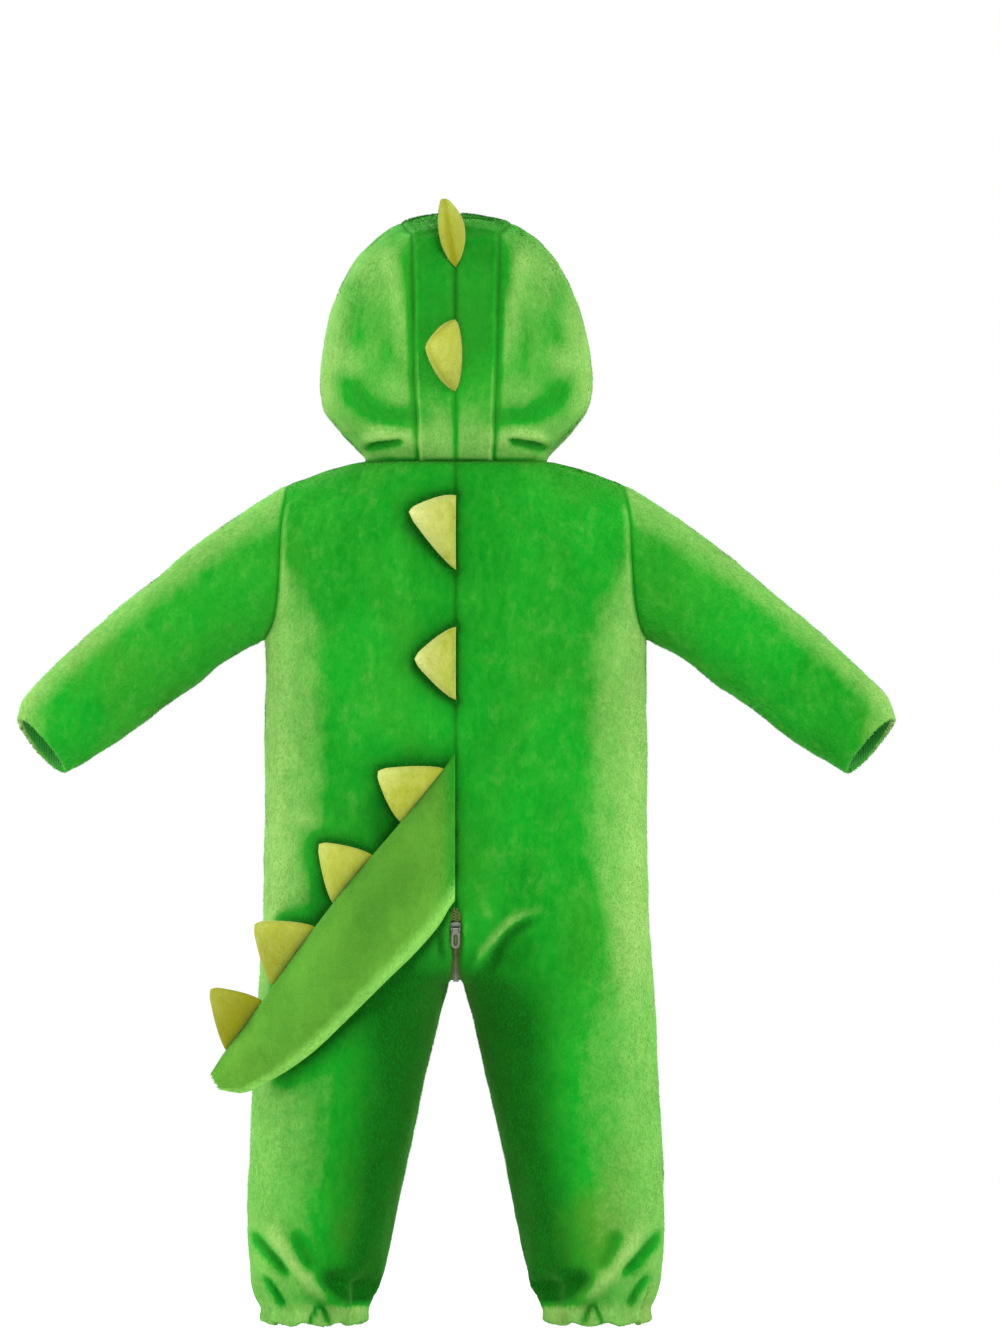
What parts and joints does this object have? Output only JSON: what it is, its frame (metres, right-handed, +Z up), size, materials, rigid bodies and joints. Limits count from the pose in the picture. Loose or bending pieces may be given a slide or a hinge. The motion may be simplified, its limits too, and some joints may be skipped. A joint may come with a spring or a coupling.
{
  "type": "baby dragon onesie",
  "caption": "Hollow hooded plush onesie for a baby, filled out as worn, with soft spines down its back, a stuffed tail and a zip from neck to seat.",
  "frame": {"origin": "middle of the neck, level with the back of the neck seam, where the wearer holds the garment up", "axes": "+Z up, the front faces -Y, the back with the spines and tail faces +Y, +X is the wearer's left"},
  "size_m": [0.6318, 0.2281, 0.8063],
  "materials": {
    "plush": "deep pile plush",
    "spine_plush": "short pile plush",
    "zip_tape": "woven zip tape",
    "zip_metal": "satin nickel plate"
  },
  "bodies": {
    "garment": {"back_left": "plush", "back_right": "plush", "front_left": "plush", "front_right": "plush", "sleeve_left": "plush", "sleeve_right": "plush", "hood_side_left": "plush", "hood_side_right": "plush", "hood_strip_left": "plush", "hood_strip_right": "plush", "tail_outer": "plush", "tail_inner": "plush", "spine_hood_top": "spine_plush", "spine_hood_back": "spine_plush", "spine_back_upper": "spine_plush", "spine_back_lower": "spine_plush", "spine_tail_1": "spine_plush", "spine_tail_2": "spine_plush", "spine_tail_3": "spine_plush", "spine_tail_4": "spine_plush", "zip_tape_left": "zip_tape", "zip_tape_right": "zip_tape", "zip_slider_front": "zip_metal", "zip_slider_back": "zip_metal"},
    "pull_front": {"zip_pull_front": "zip_metal"},
    "pull_back": {"zip_pull_back": "zip_metal"}
  },
  "joints": [
    {"name": "pull_front_swing", "type": "hinge", "parent": "garment", "child": "pull_front", "pos_m": [0, -0.06328, -0.03814], "axis": [-1, 0, 0], "range_deg": [0, 150]},
    {"name": "pull_back_swing", "type": "hinge", "parent": "garment", "child": "pull_back", "pos_m": [0, 0.07757, -0.33445], "axis": [1, 0, 0], "range_deg": [0, 130]}
  ]
}
